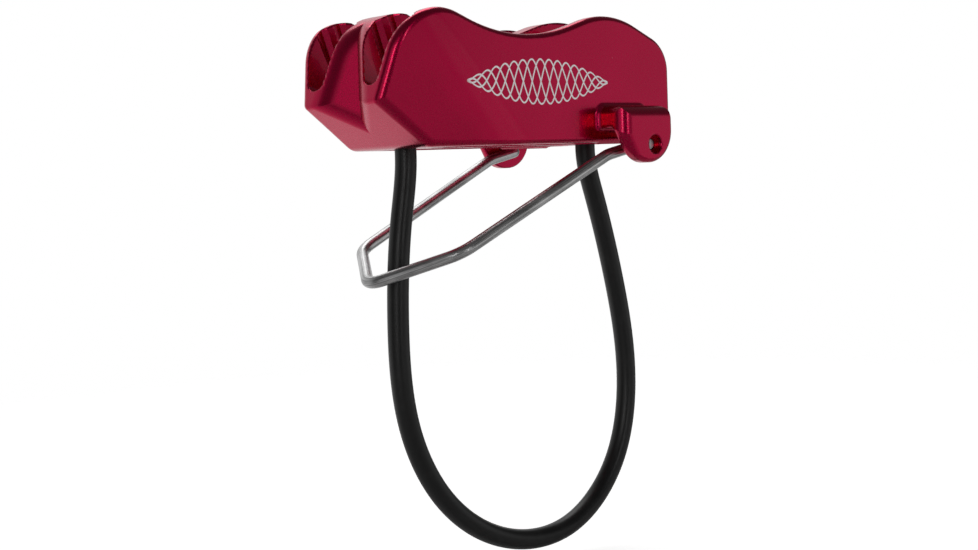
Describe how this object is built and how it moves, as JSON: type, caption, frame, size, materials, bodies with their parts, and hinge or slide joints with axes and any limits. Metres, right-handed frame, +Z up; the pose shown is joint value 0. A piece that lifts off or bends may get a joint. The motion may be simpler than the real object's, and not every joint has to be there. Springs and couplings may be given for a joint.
{
  "type": "belay device",
  "caption": "Two-slot belay device: tapered aluminium body with grooved rope slots, pivoting wire bail and hanging cable keeper loop.",
  "frame": {"origin": "on the plane of symmetry, on the flat underside of the body, about half way along it", "axes": "+X towards the pivot ears (rear), +Y across the device, +Z up, away from the hanging cable loop"},
  "size_m": [0.0824, 0.0488, 0.1173],
  "materials": {
    "anodised_body": "crimson anodised, semi-gloss",
    "bail_wire": "drawn",
    "cable_cover": "satin",
    "cable_rope": "stranded",
    "cable_stop": "pressed"
  },
  "bodies": {
    "device": {"body": "anodised_body", "keeper_sheath": "cable_cover", "cable_centre_strand": "cable_rope", "cable_outer_strands": "cable_rope", "front_cable_stop": "cable_stop", "rear_cable_stop": "cable_stop"},
    "bail": {"wire_bail": "bail_wire"}
  },
  "joints": [
    {"name": "bail_pivot", "type": "hinge", "parent": "device", "child": "bail", "pos_m": [0.0262, 0, -0.0008], "axis": [0, 1, 0], "range_deg": [-5, 21]}
  ]
}
